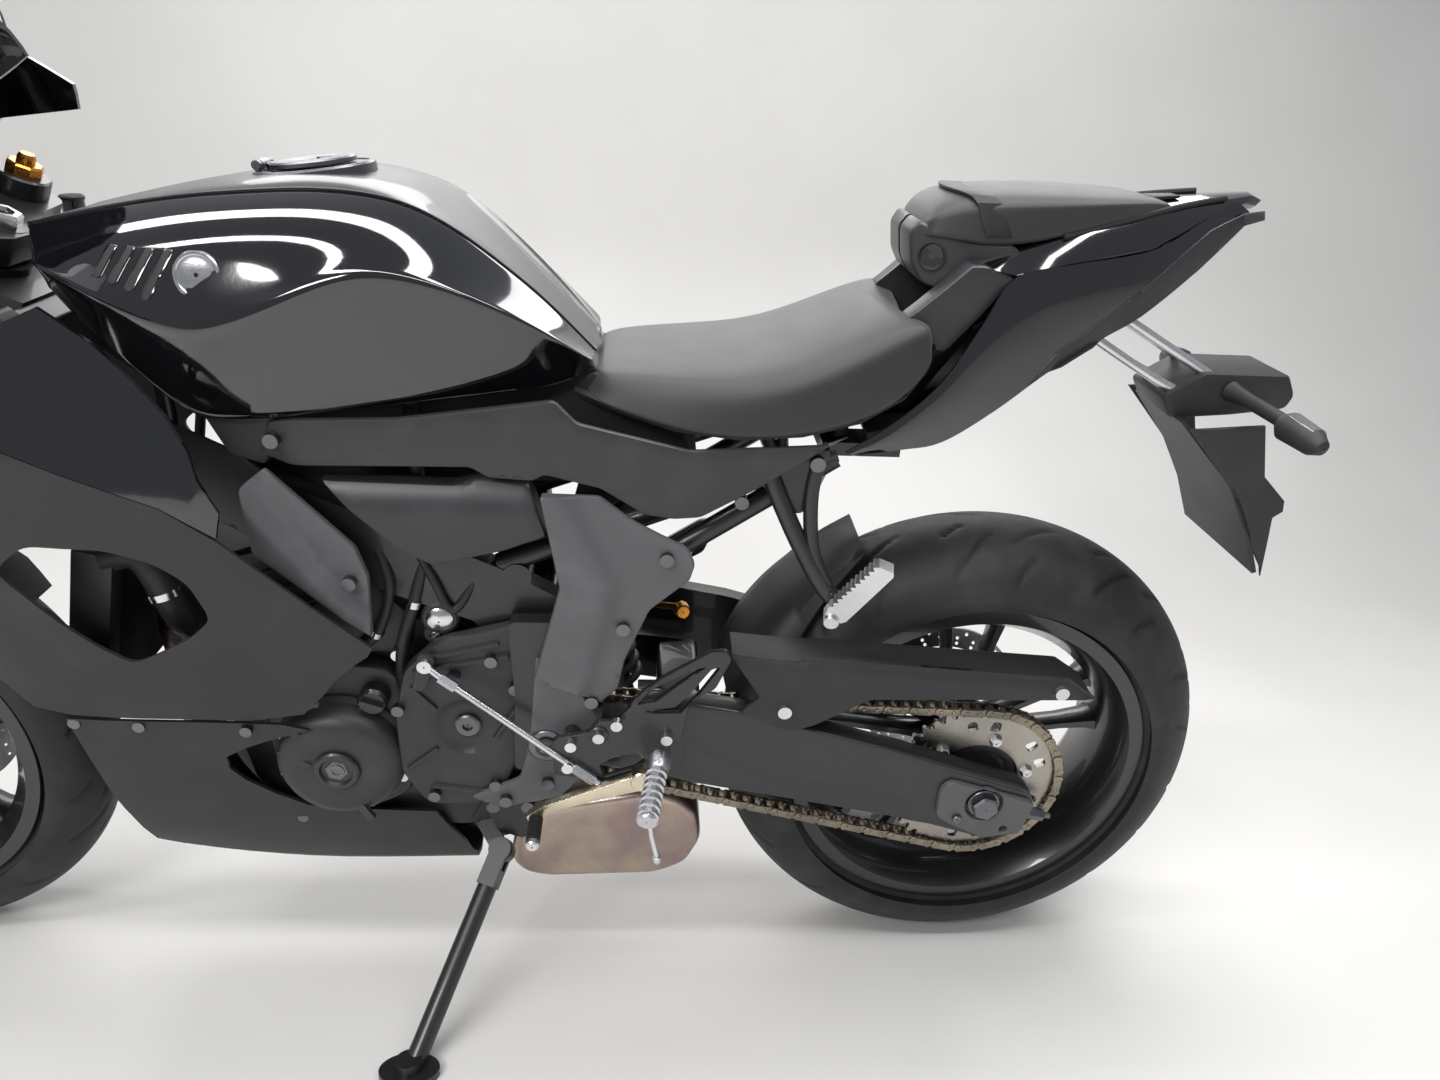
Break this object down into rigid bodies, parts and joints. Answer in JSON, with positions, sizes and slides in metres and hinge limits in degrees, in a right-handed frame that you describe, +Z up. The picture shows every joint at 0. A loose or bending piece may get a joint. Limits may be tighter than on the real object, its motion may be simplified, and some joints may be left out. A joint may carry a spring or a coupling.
{
  "type": "sport motorcycle",
  "caption": "Black sport motorcycle with half fairing, leaning on its side stand: paired-spoke wheels, twin front discs, chain drive, split seat, high tail and hinged fuel cap.",
  "frame": {"origin": "on the floor, below the middle of the parked bike's box", "axes": "X runs from the front wheel to the rear, Y from the stand's side to the far side, Z up"},
  "size_m": [2.0098, 0.7372, 1.1907],
  "materials": {
    "gloss_black_paint": "glossy",
    "frame_black": "satin",
    "matte_black_plastic": "fine grain",
    "satin_black_plastic": "satin",
    "engine_grey": "satin",
    "bare_aluminium": "satin",
    "disc_steel": "brushed",
    "chain_bronze": "oiled",
    "silencer_steel": "heat tinted",
    "tyre_rubber": "matt",
    "seat_vinyl": "matt",
    "screen_tint": "glossy tint",
    "lens_clear": "clear",
    "lens_red": "glossy",
    "grip_rubber": "ribbed"
  },
  "bodies": {
    "root": {"belly_pan": "matte_black_plastic", "chain": "chain_bronze", "chain_guard": "matte_black_plastic", "engine_block": "engine_grey", "engine_covers": "engine_grey", "exhaust": "silencer_steel", "footrest_left": "bare_aluminium", "footrest_right": "bare_aluminium", "frame_covers": "satin_black_plastic", "fuel_tank": "gloss_black_paint", "headlamp": "lens_clear", "instrument_panel": "matte_black_plastic", "main_frame": "frame_black", "mirrors": "satin_black_plastic", "nose_fairing": "gloss_black_paint", "passenger_footrests": "bare_aluminium", "pillion_seat": "seat_vinyl", "plate_bracket": "matte_black_plastic", "radiator": "engine_grey", "rear_axle": "bare_aluminium", "rear_caliper": "engine_grey", "rear_lamps": "lens_red", "rider_seat": "seat_vinyl", "shock_absorber": "frame_black", "side_covers": "satin_black_plastic", "side_fairings": "matte_black_plastic", "subframe": "frame_black", "swingarm": "frame_black", "tail_cowl": "gloss_black_paint", "tank_top_cover": "satin_black_plastic", "windscreen": "screen_tint"},
    "steering": {"front_fork": "frame_black", "front_axle": "bare_aluminium", "front_mudguard": "matte_black_plastic", "handlebars": "grip_rubber", "front_calipers": "engine_grey"},
    "front_wheel": {"front_rim": "frame_black", "front_tyre": "tyre_rubber", "front_discs": "disc_steel"},
    "rear_wheel": {"rear_rim": "frame_black", "rear_tyre": "tyre_rubber", "rear_disc": "disc_steel", "rear_sprocket": "bare_aluminium"},
    "side_stand": {"side_stand": "frame_black"},
    "fuel_cap": {"fuel_cap": "frame_black"}
  },
  "joints": [
    {"name": "steering_turn", "type": "hinge", "parent": "root", "child": "steering", "pos_m": [-0.63446, 0.11628, 0.36117], "axis": [0.4011, -0.1688, 0.9003], "range_deg": [-27, 27]},
    {"name": "front_wheel_spin", "type": "hinge", "parent": "steering", "child": "front_wheel", "pos_m": [-0.70502, 0.12851, 0.29592], "axis": [-0.0001, 0.9829, 0.1843], "continuous": true},
    {"name": "rear_wheel_spin", "type": "hinge", "parent": "root", "child": "rear_wheel", "pos_m": [0.68997, 0.12575, 0.31123], "axis": [-0.0001, 0.9829, 0.1843], "continuous": true},
    {"name": "side_stand_swing", "type": "hinge", "parent": "root", "child": "side_stand", "pos_m": [0.09952, 0.02445, 0.18924], "axis": [-0.1271, -0.7309, 0.6706], "range_deg": [0, 105.2]},
    {"name": "fuel_cap_hinge", "type": "hinge", "parent": "root", "child": "fuel_cap", "pos_m": [-0.11813, -0.00094, 0.98655], "axis": [0.0001, -0.9829, -0.1843], "range_deg": [0, 100]}
  ]
}
